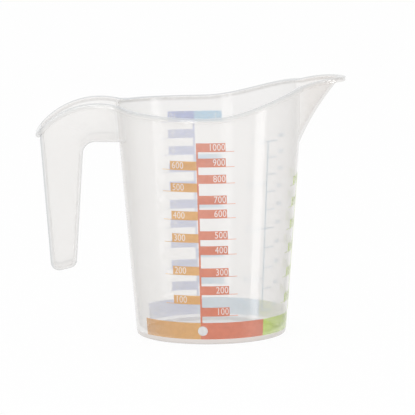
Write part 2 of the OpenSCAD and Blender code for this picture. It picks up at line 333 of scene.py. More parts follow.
def handle_half(x, z):
    draft = math.tan(HANDLE_DRAFT) * (CREST_H - z)
    return HANDLE_END_W / 2 + PLAN_TAPER * (x + HANDLE_REACH) - draft


def outer_edge(z):
    return -HANDLE_REACH + math.tan(GRIP_LEAN) * (CREST_H - z)


def inner_edge(z):
    return -GRIP_INNER_X - math.tan(GRIP_TAPER) * (UNDERSIDE_H - z)


def root_place(z, grow, radius, share):
    """A place on the round between the cup and the handle's far side, which are moved out by
    grow: share 0 is on the cup and share 1 on the handle."""
    n = math.hypot(1, PLAN_TAPER)
    rise = handle_half(0, z) + (grow + radius) * n
    reach = cup_r(z) + grow + radius
    x = -(PLAN_TAPER * rise + math.sqrt((n * reach) ** 2 - rise ** 2)) / n ** 2
    y = PLAN_TAPER * x + rise
    start, end = math.atan2(-y, -x), math.atan2(-1, PLAN_TAPER)
    a = start + (end - start) * share
    return x + radius * math.cos(a), y + radius * math.sin(a)


# Mesh making

def made(name, data):
    """A new object in the scene from a mesh, a camera or a lamp."""
    obj = bpy.data.objects.new(name, data)
    bpy.context.scene.collection.objects.link(obj)
    return obj


def mesh_piece(name, points, faces):
    """A mesh object from points in millimetres, with its faces turned outwards."""
    mesh = bpy.data.meshes.new(name)
    mesh.from_pydata([[c * MM for c in p] for p in points], [], faces)
    bm = bmesh.new()
    bm.from_mesh(mesh)
    bmesh.ops.recalc_face_normals(bm, faces=bm.faces)
    bm.to_mesh(mesh)
    bm.free()
    return made(name, mesh)


def loft(name, rings, looped=False):
    """A closed skin through rings of points, with flat ends, or looped end to end."""
    n = len(rings[0])
    points = [p for ring in rings for p in ring]
    faces = []
    count = len(rings) if looped else len(rings) - 1
    for k in range(count):
        a, b = k * n, (k + 1) % len(rings) * n
        faces += [(a + i, a + (i + 1) % n, b + (i + 1) % n, b + i) for i in range(n)]
    if not looped:
        faces.append(tuple(range(n)))
        faces.append(tuple((len(rings) - 1) * n + i for i in range(n)))
    return mesh_piece(name, points, faces)


def lathe(name, profile):
    turns = [2 * math.pi * (i + 0.5) / CUP_STEPS for i in range(CUP_STEPS)]
    return loft(name, [[(r * math.cos(t), r * math.sin(t), z) for t in turns]
                       for r, z in profile])


def settle(obj):
    """The object's evaluated shape as its own plain mesh, with no modifier left."""
    graph = bpy.context.evaluated_depsgraph_get()
    mesh = bpy.data.meshes.new_from_object(obj.evaluated_get(graph))
    old = obj.data
    obj.modifiers.clear()
    obj.data = mesh
    bpy.data.meshes.remove(old)
    return obj


def combine(base, other, operation):
    cut = base.modifiers.new("cut", "BOOLEAN")
    cut.solver = "MANIFOLD"
    cut.operation = operation
    cut.object = other
    settle(base)
    bpy.data.objects.remove(other)
    return base


def even(a, b, n):
    return [a + (b - a) * k / n for k in range(n + 1)]


# Moulding

def cup_outside():
    """Foot ring with its recess, and the conical wall as a solid."""
    flat_r = cup_r(0) - FOOT_ROUND
    recess_r = cup_r(0) - FOOT_W - WALL
    profile = [(recess_r - FOOT_LIP, FOOT_H), (recess_r, FOOT_H - FOOT_LIP),
               (recess_r, FOOT_LIP), (recess_r + FOOT_LIP, 0)]
    for a in even(0, math.pi / 2, ROUND_STEPS):
        profile.append((flat_r + FOOT_ROUND * math.sin(a), FOOT_ROUND * (1 - math.cos(a))))
    profile += [(cup_r(z), z) for z in even(FOOT_ROUND + 1, TOP_H, 30)]
    return lathe("cup_outside", profile)


def cup_inside():
    """The cup's inner space, with the fillet round its floor."""
    wall_z = FLOOR_Z + FLOOR_FILLET
    r = cup_r(wall_z) - WALL
    profile = []
    for a in even(0, math.pi / 2, ROUND_STEPS):
        profile.append((r - FLOOR_FILLET * (1 - math.sin(a)),
                        FLOOR_Z + FLOOR_FILLET * (1 - math.cos(a))))
    profile += [(cup_r(z) - WALL, z) for z in even(wall_z + 4, TOP_H + 4, 28)]
    return lathe("cup_inside", profile)


def spout_block(name, grow, back, first):
    """The spout's body from a height up, with its root drawn back into the cup. A shrunk one
    starts as a wedge that climbs out of the cup's wall."""
    turns = [math.sin(t) for t in even(-math.pi / 2, math.pi / 2, 56)]
    rings = []
    if grow < 0:
        _, y0 = spout_place(first, grow, 1.0)
        for u in (0.02, 0.5):
            drop = (1 - u) * WEDGE_H
            x, z = SPOUT_ROOT_X - WEDGE_LEAN * drop, first - drop
            far = y0 * WEDGE_WIDE
            line = [(x, -y0 * u * t, z) for t in turns]
            rings.append([(x - back, far, z)] + line + [(x - back, -far, z)])
    for z in even(first, TOP_H + 2, 44):
        far = root_half(z) + grow * SPOUT_SIDE + back * SPOUT_FLARE
        line = [(*spout_place(z, grow, -t), z) for t in turns]
        x = SPOUT_ROOT_X - back
        rings.append([(x, far, z)] + line + [(x, -far, z)])
    return loft(name, rings)


def handle_outline():
    """The handle seen from the side, as points with their inward normals and edge rounding:
    up the fingers' side, along the underside into the cup, and back over the top."""
    low_x = outer_edge(GRIP_BOTTOM_H)
    r = GRIP_END_ROUND
    end = (math.sin(GRIP_END_SLOPE), -math.cos(GRIP_END_SLOPE))
    left = (-math.cos(GRIP_LEAN), -math.sin(GRIP_LEAN))
    right = (math.cos(GRIP_TAPER), -math.sin(GRIP_TAPER))
    out = []

    def corner(place, a, b):
        """Adds a rounded corner from its centre and its first and last outward normal."""
        for t in even(math.atan2(a[1], a[0]), math.atan2(b[1], b[0]), ROUND_STEPS):
            n = (math.cos(t), math.sin(t))
            out.append(((place[0] + r * n[0], place[1] + r * n[1]), (-n[0], -n[1]),
                        GRIP_ROUND))

    def meet(line_a, line_b):
        """A corner's centre between two outline lines, each a point and an outward normal."""
        (pa, na), (pb, nb) = line_a, line_b
        m = Matrix((na, nb))
        ca = na[0] * pa[0] + na[1] * pa[1] - r
        cb = nb[0] * pb[0] + nb[1] * pb[1] - r
        p = m.inverted() @ Vector((ca, cb))
        return p.x, p.y

    outer = ((low_x, GRIP_BOTTOM_H), left)
    bottom = ((low_x, GRIP_BOTTOM_H), end)
    inner = ((inner_edge(GRIP_BOTTOM_H), GRIP_BOTTOM_H), right)
    c1 = meet(outer, bottom)
    c2 = meet(bottom, inner)
    corner(c1, left, end)
    corner(c2, end, right)
    fillet_z = UNDERSIDE_H - GRIP_FILLET
    start = out[-1][0]
    arc_x = inner_edge(fillet_z) + GRIP_FILLET
    first = (arc_x - GRIP_FILLET, fillet_z)
    for u in even(0, 1, 14)[1:-1]:
        p = (start[0] + (first[0] - start[0]) * u, start[1] + (first[1] - start[1]) * u)
        out.append((p, (-right[0], -right[1]), GRIP_ROUND))
    for k, t in enumerate(even(0, math.pi / 2, 12)):
        n = (-math.cos(t), math.sin(t))
        rounds = GRIP_ROUND + (BRIDGE_ROUND - GRIP_ROUND) * k / 12
        out.append(((arc_x + GRIP_FILLET * n[0], fillet_z + GRIP_FILLET * n[1]), n, rounds))
    for x in even(arc_x + 2, -MOUTH_R / 2, 14):
        out.append(((x, UNDERSIDE_H), (0, 1), BRIDGE_ROUND))
    out.append(((-MOUTH_R / 2, TOP_H), (0, 0), 0))
    for z in even(TOP_H, c1[1] + 1, 24):
        out.append(((outer_edge(z), z), (-left[0], -left[1]), GRIP_ROUND))
    return out


def handle_block(name, inset):
    """The handle's body, or its hollow when inset by the wall, with rounded long edges: the
    block, and the density and painted shade at each of its points, most along the hollow's
    floor."""
    outline = handle_outline()
    tones = HOLLOW_DENSITY if inset else OUTER_DENSITY
    marks = []
    sides = [GRIP_ROUND * (1 - math.sin(a)) for a in even(0, math.pi / 2, ROUND_STEPS)][::-1]
    scale = (GRIP_ROUND - inset) / GRIP_ROUND
    steps = [(s * scale, 1) for s in sides] + [(s * scale, -1) for s in sides[::-1]]
    rings = []
    for k, (s, side) in enumerate(steps):
        tone = tones[min(k, len(steps) - 1 - k)]
        ring = []
        for (x, z), n, rounds in outline:
            left = max(rounds - inset, 0.001)
            gap = max(left - s, 0)
            move = inset + left - math.sqrt(left ** 2 - gap ** 2) if rounds else 0
            px, pz = x + n[0] * move, z + n[1] * move
            point = (px, side * (handle_half(px, pz) - inset - s), pz)
            ring.append(point)
            weight = max(n[0], 2 * n[1] if inset else 0, 0)
            marks.append((point, tone * (0.5 + 0.5 * weight)))
        rings.append(ring)
    return loft(name, rings), marks


def root_block(side):
    """The round that joins the handle's side to the cup, closed inside them, and the density
    and painted shade at the round's points."""
    levels = [(UNDERSIDE_H + BRIDGE_ROUND * (1 - math.cos(a)), BRIDGE_ROUND * (1 - math.sin(a)))
              for a in even(0, math.pi / 2, 4)]
    levels += [(z, 0) for z in even(UNDERSIDE_H + 2 * BRIDGE_ROUND, TOP_H, 8)]
    shares = even(0, 1, 24)
    tones = np.interp(shares, ROOT_SHARES, ROOT_DENSITY)
    rings = []
    marks = []
    for z, inset in levels:
        arc = [root_place(z, -inset, ROOT_ROUND, s) for s in shares]
        marks += [((x, side * y, z), float(tone)) for (x, y), tone in zip(arc, tones)]
        ring = arc + [(arc[-1][0], arc[-1][1] * 0.75), (arc[0][0] * 0.85, arc[0][1] * 0.85)]
        rings.append([(x, side * y, z) for x, y in ring])
    return loft("root", rings), marks


def below_rim(name, depth):
    """All that lies deeper than this under the rim's top."""
    xs, zs = rim_table(depth)
    side = [(xs[0], LOW_H)] + list(zip(xs, zs)) + [(xs[-1], LOW_H)]
    half = MOUTH_D * 0.75
    return loft(name, [[(x, y, z) for x, z in side] for y in (-half, half)])


def cup_place(z, grow, turn):
    r = cup_r(z) + grow
    return r * math.cos(turn), r * math.sin(turn)


def rim_outline(grow, depth):
    """The jug's outline under the rim, anticlockwise from the spout's near crease: spout, far
    wall, handle and near wall, moved out by grow."""
    def spout(t):
        return on_rim(lambda z: spout_place(z, grow, t), depth)

    def cup(a):
        return on_rim(lambda z: cup_place(z, grow, a), depth)

    def in_cup(t):
        x, y, z = spout(t)
        return math.hypot(x, y) < cup_r(z) + grow

    def root(share):
        return on_rim(lambda z: root_place(z, grow, ROOT_ROUND - grow, share), depth)

    crease = crossing(in_cup, 1.6, 0.2)
    x, y, z = spout(crease)
    spout_turn = math.atan2(y, x)
    bend = [root(s) for s in even(0, 1, 16)]
    root_turn = math.atan2(bend[0][1], bend[0][0])
    line = [spout(t) for t in even(-crease, crease, 96)]
    line += [cup(a) for a in even(spout_turn, root_turn, 90)][1:-1]
    radius = GRIP_ROUND + grow

    def side(x):
        return on_rim(lambda z: (x, handle_half(x, z) + grow), depth)

    def outer_corner(a):
        def place(z):
            left = outer_edge(z) - grow
            x = left + radius * (1 + math.cos(a))
            return x, handle_half(x, z) + grow - radius + radius * math.sin(a)
        return on_rim(place, depth)

    corner = [outer_corner(a) for a in even(math.pi / 2, math.pi, 12)]
    far = bend + [side(x) for x in even(bend[-1][0], corner[0][0], 40)][1:-1] + corner
    last = far[-1]
    across = [(last[0], last[1] * s, last[2]) for s in even(1, -1, 12)][1:-1]
    near = [(x, -y, z) for x, y, z in reversed(far)]
    line += far + across + near
    line += [cup(a) for a in even(-root_turn, -spout_turn, 90)][1:-1]
    return line


def hung(point, drop):
    """The point moved down square to the rim's side profile."""
    x, y, z = point
    slope = (rim_z(x + 0.1) - rim_z(x - 0.1)) / 0.2
    n = math.hypot(1, slope)
    return x + drop * slope / n, y, z - drop / n


def soft_edge(grow, side):
    """The rounded edge of a wall's top as (grow, depth), from its face to its top. The wall
    lies outside that face where side is 1, and inside it where side is -1."""
    return [(grow + side * EDGE_SOFT * (1 - math.cos(a)), EDGE_SOFT * (1 - math.sin(a)))
            for a in even(0, math.pi / 2, 3)]


def rim_section():
    """The flange's section as (grow, depth, drop, density): a flat top, a hanging skirt, and
    rounded edges. Density is how much the plastic closes there and how much painted shade it
    takes, in place of the light that an edge bends away."""
    inner = -WALL - INK_LIFT
    top = LIP_OUT - LIP_ROUND
    back = LIP_OUT - LIP_T
    hang = LIP_H - LIP_ROUND
    under = LIP_T + LIP_EDGE - LIP_ROUND
    section = [(inner, LIP_T, 0, 0.0), (inner, EDGE_SOFT, 0, 0.1)]
    section += [(grow, depth, 0, 0.8) for grow, depth in soft_edge(inner, 1)[1:]]
    for a in even(0, math.pi / 2, 5):
        section.append((top + LIP_ROUND * math.sin(a), LIP_ROUND * (1 - math.cos(a)), 0,
                        0.75 - 0.15 * math.sin(a)))
    section += [(LIP_OUT, LIP_ROUND, SKIRT_FADE[0], 0.45),
                (LIP_OUT, LIP_ROUND, SKIRT_FADE[1], 0.12),
                (LIP_OUT, LIP_ROUND, hang - LIP_EDGE, 0.0),
                (LIP_OUT - LIP_EDGE, LIP_ROUND, hang, 0.0)]
    section += [(back + LIP_EDGE, LIP_ROUND, hang, 0.55),
                (back, LIP_ROUND, hang - LIP_EDGE, 0.6),
                (back, LIP_ROUND, hang - LIP_EDGE - EDGE_SOFT, 0.5),
                (back, LIP_ROUND, hang - LIP_EDGE - 2 * EDGE_SOFT, 0.15)]
    section += [(back, LIP_ROUND, under, 0.1), (back - LIP_EDGE, LIP_T, 0, 0.1)]
    section += [(-WALL / 2, LIP_T, 0, 0.0)]
    return section


def rim_flange():
    """The flange, and the density and painted shade at each of its points: less round the spout,
    and more where the handle meets the cup and on the skirt along the handle."""
    section = rim_section()
    rings = [[hung(p, drop) for p in rim_outline(grow, depth)]
             for grow, depth, drop, _ in section]
    marks = []
    for ring, (grow, _, drop, tone) in zip(rings, section):
        skirt = SKIRT_DENSITY if drop and grow > LIP_OUT - LIP_EDGE / 2 else 0.0
        for p in ring:
            nose = min(max((p[0] - SPOUT_ROOT_X) / SPOUT_REACH, 0), 1)
            root = min(max(-p[0] / MOUTH_R, 0), 1) if p[0] > -MOUTH_R else 0.0
            along = min(max((-p[0] - MOUTH_R) / ROOT_ROUND, 0), 1)
            dense = max(tone * (1 - 0.3 * nose) * (1 + 0.25 * root ** 2), skirt * along)
            marks.append((p, dense))
    return loft("rim_flange", rings, looped=True), marks


def nearest_mark(marks):
    """A function that gives the density of the mark nearest to a place, and its distance."""
    tree = KDTree(len(marks))
    for i, (point, _) in enumerate(marks):
        tree.insert(point, i)
    tree.balance()

    def find(place):
        _, i, distance = tree.find(place)
        return marks[i][1], distance
    return find


def set_density(obj, rim_marks, handle_marks, pocket_marks):
    """Writes the edges' density and painted shade on the moulding's points, and which of them
    lie on the inside of the cup and the handle, where the plastic is painted darker as shade. A
    point that a cut made on the handle takes the nearest mark's."""
    finds = [nearest_mark(marks) for marks in (rim_marks, handle_marks, pocket_marks)]
    values = []
    hollow = []
    for v in obj.data.vertices:
        place = v.co / MM
        found = [find(place) for find in finds]
        r = math.hypot(place.x, place.y)
        beside_cup = r > cup_r(place.z) + 0.1
        in_pocket = beside_cup and found[2][1] < min(found[0][1], found[1][1])
        near = min(found[1:], key=lambda mark: mark[1])
        tone = near[0] if beside_cup and near[1] < NEAR_POINT else 0.0
        values.append(found[0][0] if found[0][1] < OWN_POINT else tone)
        in_cup = r < cup_r(place.z) - WALL / 2 and place.z > FLOOR_Z + FLOOR_FILLET / 2
        hollow.append(float(in_pocket or in_cup))
    write_values(obj, "edge_density", values)
    write_values(obj, "hollow_face", hollow)


def write_values(obj, name, values):
    layer = obj.data.attributes.new(name, "FLOAT", "POINT")
    layer.data.foreach_set("value", values)


def pocket_wall_top():
    """Rounded top of the wall between the cup and the hollow of the handle."""
    def past_handle(a):
        x, y, z = on_rim(lambda h: cup_place(h, 0, a), 0.0)
        return abs(y) > handle_half(x, z) + 1

    turn = crossing(past_handle, math.pi / 2, math.pi)
    inner = -WALL - INK_LIFT
    section = [(inner, POCKET_TOP_H)] + soft_edge(inner, 1)
    section += soft_edge(INK_LIFT, -1)[::-1] + [(INK_LIFT, POCKET_TOP_H)]
    rings = [[on_rim(lambda z: cup_place(z, g, a), d) for g, d in section]
             for a in even(turn, 2 * math.pi - turn, 40)]
    return loft("pocket_wall_top", rings)


def jug_moulding():
    """The whole moulding as one seamless skin."""
    jug = cup_outside()
    combine(jug, spout_block("spout", 0, WALL, SPOUT_LOW_H + SPOUT_START), "UNION")
    handle, handle_marks = handle_block("handle", 0)
    combine(jug, handle, "UNION")
    for side in (1, -1):
        root, root_marks = root_block(side)
        combine(jug, root, "UNION")
        handle_marks += root_marks
    combine(jug, below_rim("cap", LIP_T / 2), "INTERSECT")
    pocket, pocket_marks = handle_block("pocket", WALL)
    combine(jug, combine(pocket, cup_outside(), "DIFFERENCE"), "DIFFERENCE")
    channel = spout_block("channel", -WALL, 5 * WALL, SPOUT_LOW_H + CHANNEL_START)
    combine(jug, combine(cup_inside(), channel, "UNION"), "DIFFERENCE")
    flange, rim_marks = rim_flange()
    combine(jug, flange, "UNION")
    combine(jug, pocket_wall_top(), "UNION")
    jug.name = "jug_moulding"
    set_density(jug, rim_marks, handle_marks, pocket_marks)
    jug.data.shade_smooth()
    jug.data.set_sharp_from_angle(angle=SMOOTH_ANGLE)
    return jug


# Node graphs

class Wire:
    """A node's output that can be used in sums."""

    def __init__(self, graph, socket):
        self.graph = graph
        self.socket = socket

    def __add__(self, other):
        return self.graph.math("ADD", self, other)

    def __sub__(self, other):
        return self.graph.math("SUBTRACT", self, other)

    def __rsub__(self, other):
        return self.graph.math("SUBTRACT", other, self)

    def __mul__(self, other):
        return self.graph.math("MULTIPLY", self, other)

    def __truediv__(self, other):
        return self.graph.math("DIVIDE", self, other)

    def __pow__(self, other):
        return self.graph.math("POWER", self, other)

    __radd__ = __add__
    __rmul__ = __mul__


class Graph:
    """Makes and joins the nodes of one tree."""

    def __init__(self, tree):
        self.tree = tree

    def node(self, kind, inputs=None, output=0, **settings):
        """Adds a node. An input is a value, a wire, or a list of wires that join there."""
        made_node = self.tree.nodes.new(kind)
        for key, value in settings.items():
            setattr(made_node, key, value)
        for key, value in (inputs or {}).items():
            socket = made_node.inputs[key]
            if isinstance(value, (Wire, list)):
                for wire in [value] if isinstance(value, Wire) else value:
                    self.tree.links.new(wire.socket, socket)
            else:
                socket.default_value = value
        return Wire(self, made_node.outputs[output]) if made_node.outputs else made_node

    def math(self, operation, a, b=0.0):
        return self.node("ShaderNodeMath", {0: a, 1: b}, operation=operation)

    def blend(self, factor, a, b):
        return self.node("ShaderNodeMix", {0: factor, 6: a, 7: b}, output=2,
                         data_type="RGBA")


def material(name):
    mat = bpy.data.materials.new(name)
    mat.use_nodes = True
    mat.node_tree.nodes.clear()
    return mat, Graph(mat.node_tree)


def see_through(graph, opacity, inputs):
    """Ends a material: clear where opacity is 0, and the given plastic or ink where it is 1."""
    body = graph.node("ShaderNodeBsdfPrincipled", inputs)
    clear = graph.node("ShaderNodeBsdfTransparent")
    mixed = graph.node("ShaderNodeMixShader", {0: opacity, 1: clear, 2: body})
    graph.node("ShaderNodeOutputMaterial", {"Surface": mixed})


def edge_on(graph):
    """From 0 where a surface faces the eye to 1 where it is seen edge on."""
    return graph.node("ShaderNodeLayerWeight", {"Blend": 0.5}, output=1)


def noise(graph, scale, detail, stretch=(1, 1, 1)):
    place = graph.node("ShaderNodeTexCoord", output=3)
    place = graph.node("ShaderNodeMapping", {0: place, "Scale": stretch})
    return graph.node("ShaderNodeTexNoise", {"Vector": place, "Scale": scale,
                                             "Detail": detail})


def place_in(graph, axis):
    """The place on an axis of the piece, in metres."""
    place = graph.node("ShaderNodeTexCoord", output=3)
    return graph.node("ShaderNodeSeparateXYZ", {0: place}, output=axis)


def marked(graph, name):
    """A value that the mesh carries on its points or faces."""
    return graph.node("ShaderNodeAttribute", output=2, attribute_name=name)


def times(colour, shares):
    """A colour with each of its channels scaled."""
    return (*(c * s for c, s in zip(colour, shares)), 1)


def clear_plastic(name, opacity, tint):
    """Milky plastic: hazy where it is seen square on, denser at grazing angles, at the rim's
    edges and in the foot. Painted shade makes it darker where it is seen edge on, at the edges,
    a little on the inside of the cup and the handle's hollow, and partly in the foot. It is
    warmer and denser in the spout, and fainter in raised digits. A face seen from behind has no
    haze."""
    mat, graph = material(name)
    cloud = noise(graph, 26, 4)
    grain = noise(graph, 900, 2)
    streak = noise(graph, 60, 3, stretch=(1, 1, 0.15))
    facing = edge_on(graph)
    front = 1 - graph.node("ShaderNodeNewGeometry", output=6)
    rim = marked(graph, "edge_density")
    hollow = marked(graph, "hollow_face")
    digit = marked(graph, "digit")
    foot = graph.node("ShaderNodeMapRange", {
        0: place_in(graph, 2), 1: FOOT_FADE[0], 2: FOOT_FADE[1]})
    nose = graph.node("ShaderNodeMapRange", {
        0: place_in(graph, 0), 1: SPOUT_FADE[0], 2: SPOUT_FADE[1]})
    haze = opacity * (0.94 + 0.12 * cloud) + SPOUT_CLOSED * nose
    haze = haze + (FOOT_CLOSED - haze) * foot
    haze = haze * front * (1 - 0.5 * digit)
    closed = haze + (1 - haze) * GRAZING_CLOSED * facing ** 2.5
    closed = closed + (1 - closed) * EDGE_CLOSED * rim * front
    # Painted shade: the inside of the cup and the handle's hollow are drawn a little darker
    colour = graph.blend(hollow, (*tint, 1), times(tint, INSIDE_SHADE))
    colour = graph.blend(nose, colour, times(tint, SPOUT_TINT))
    # Darker, warmer foot: partly its denser plastic, partly painted shade near the floor
    colour = graph.blend(foot, colour, times(tint, FOOT_SHADE_TINT))
    # Painted shade: the colour darkens where the surface is seen edge on
    colour = graph.blend(0.9 * facing ** 2, colour, times(tint, GRAZING_SHADE))
    # Painted shade along the rim's and the handle's edges, for the light that they bend away
    colour = graph.blend(rim, colour, EDGE_SHADE_COLOUR)
    bump = graph.node("ShaderNodeBump", {"Strength": 0.06, "Distance": 0.0002,
                                         "Height": grain + streak})
    see_through(graph, closed, {
        "Base Color": colour,
        "Roughness": 0.06 + 0.05 * cloud,
        "IOR": 1.49,
        "Normal": bump,
    })
    return mat


def ink(name, colour, opacity, fade=1.1, thin=0.0):
    """Printed ink with light digits: thinner where it is seen edge on and towards the top of
    the scale, its cover uneven."""
    mat, graph = material(name)
    cover = noise(graph, 240, 3)
    grain = noise(graph, 1600, 2)
    tone = graph.blend(cover, times(colour, (0.9, 0.9, 0.9)), (*colour, 1))
    digit = marked(graph, "digit")
    tone = graph.blend(0.85 * digit, tone, DIGIT_COLOUR)
    bump = graph.node("ShaderNodeBump", {"Strength": 0.08, "Distance": 0.0001,
                                         "Height": grain})
    height = place_in(graph, 2) / (FULL_MARK_H * MM)
    film = (opacity - 0.06 + 0.12 * cover) * (1 - 0.15 * digit) * (1 - thin * height)
    see_through(graph, film * (1 - 0.97 * edge_on(graph) ** fade), {
        "Base Color": tone,
        "Roughness": 0.32 + 0.2 * grain,
        "IOR": 1.45,
        "Normal": bump,
    })
    return mat


# Prints

def new_tree(name, inputs):
    """A Geometry Nodes tree with named inputs: its graph, their wires and identifiers."""
    tree = bpy.data.node_groups.new(name, "GeometryNodeTree")
    ids = {}
    for label, kind in inputs:
        ids[label] = tree.interface.new_socket(
            label, in_out="INPUT", socket_type="NodeSocket" + kind).identifier
    tree.interface.new_socket("Geometry", in_out="OUTPUT", socket_type="NodeSocketGeometry")
    graph = Graph(tree)
    group = graph.node("NodeGroupInput").socket.node
    return graph, {label: Wire(graph, group.outputs[label]) for label, _ in inputs}, ids


def vector(graph, x, y, z):
    return graph.node("ShaderNodeCombineXYZ", {0: x, 1: y, 2: z})


def joined(graph, *parts):
    return graph.node("GeometryNodeJoinGeometry", {0: list(parts)})


def number_tree():
    """A number as flat faces round (Place X, Place Y), alone or left open in a block."""
    graph, get, ids = new_tree("numbered_block", (
        ("Number", "String"), ("Number Width", "Float"), ("Number Height", "Float"),
        ("Place X", "Float"), ("Place Y", "Float"),
        ("Block Width", "Float"), ("Block Height", "Float"), ("With Block", "Bool")))
    number = graph.node("GeometryNodeStringToCurves", {
        "String": get["Number"], "Size": 1.0, "Character Spacing": NUMBER_SPACING},
        align_x="CENTER", align_y="MIDDLE")
    number = graph.node("GeometryNodeRealizeInstances", {0: number})
    number = graph.node("GeometryNodeTransform", {
        "Geometry": number,
        "Translation": vector(graph, get["Place X"], get["Place Y"], 0.0),
        "Scale": vector(graph, get["Number Width"], get["Number Height"], 1.0)})
    block = graph.node("GeometryNodeCurvePrimitiveQuadrilateral", {
        "Width": get["Block Width"], "Height": get["Block Height"]})
    half = vector(graph, get["Block Width"] * 0.5, get["Block Height"] * 0.5, 0.0)
    block = graph.node("GeometryNodeTransform", {"Geometry": block, "Translation": half})
    chosen = graph.node("GeometryNodeSwitch", {
        "Switch": get["With Block"], "False": number, "True": joined(graph, number, block)},
        input_type="GEOMETRY")
    filled = graph.node("GeometryNodeFillCurve", {"Curve": chosen})
    filled = graph.node("GeometryNodeRealizeInstances", {0: filled})
    graph.node("NodeGroupOutput", {0: filled})
    return graph.tree, ids


def print_tree():
    """Lays flat faces on the cup's cone as a print: a line at each loose point, the given
    thickness, and the bend round the wall."""
    graph, get, ids = new_tree("print_on_cone", (
        ("Geometry", "Geometry"), ("Line Length", "Float"), ("Line Thickness", "Float"),
        ("Spine Angle", "Float"), ("Foot Radius", "Float"), ("Taper", "Float"),
        ("Lift", "Float"), ("Ink Thickness", "Float"), ("Unit", "Float"),
        ("Finish", "Material")))
    faces = graph.node("GeometryNodeInputMeshVertexNeighbors", output=1)
    loose = graph.math("LESS_THAN", faces, 0.5)
    starts = graph.node("GeometryNodeMeshToPoints", {"Mesh": get["Geometry"],
                                                     "Selection": loose})
    starts = graph.node("GeometryNodeRemoveAttribute", {"Geometry": starts, "Name": "digit"})
    line = graph.node("GeometryNodeMeshGrid", {
        "Size X": get["Line Length"], "Size Y": get["Line Thickness"],
        "Vertices X": 5, "Vertices Y": 2})
    half = vector(graph, get["Line Length"] * 0.5, get["Line Thickness"] * 0.5, 0.0)
    line = graph.node("GeometryNodeTransform", {"Geometry": line, "Translation": half})
    lines = graph.node("GeometryNodeInstanceOnPoints", {"Points": starts, "Instance": line})
    lines = graph.node("GeometryNodeRealizeInstances", {0: lines})
    flat = graph.node("GeometryNodeDeleteGeometry", {"Geometry": get["Geometry"],
                                                     "Selection": loose}, domain="POINT")
    flat = joined(graph, flat, lines)
    raised = graph.node("GeometryNodeExtrudeMesh", {
        "Mesh": flat, "Offset": (0, 0, 1), "Offset Scale": get["Ink Thickness"],
        "Individual": False})
    solid = joined(graph, raised, graph.node("GeometryNodeFlipFaces", {"Mesh": flat}))
    solid = graph.node("GeometryNodeMergeByDistance", {"Geometry": solid, "Distance": 0.0005})
    place = graph.node("GeometryNodeInputPosition")
    x, y, z = (graph.node("ShaderNodeSeparateXYZ", {0: place}, output=k) for k in range(3))
    wall_r = get["Foot Radius"] + get["Taper"] * y
    turn = get["Spine Angle"] + x / wall_r
    out_r = (wall_r + get["Lift"] + z) * get["Unit"]
    bent = vector(graph, out_r * graph.math("COSINE", turn),
                  out_r * graph.math("SINE", turn), y * get["Unit"])
    solid = graph.node("GeometryNodeSetPosition", {"Geometry": solid, "Position": bent})
    solid = graph.node("GeometryNodeRealizeInstances", {0: solid})
    solid = graph.node("GeometryNodeSetMaterial", {"Geometry": solid,
                                                   "Material": get["Finish"]})
    graph.node("NodeGroupOutput", {0: solid})
    return graph.tree, ids


def run_tree(obj, tree, ids, values):
    step = obj.modifiers.new("tree", "NODES")
    step.node_group = tree
    for label, value in values.items():
        step[ids[label]] = value
    return settle(obj)


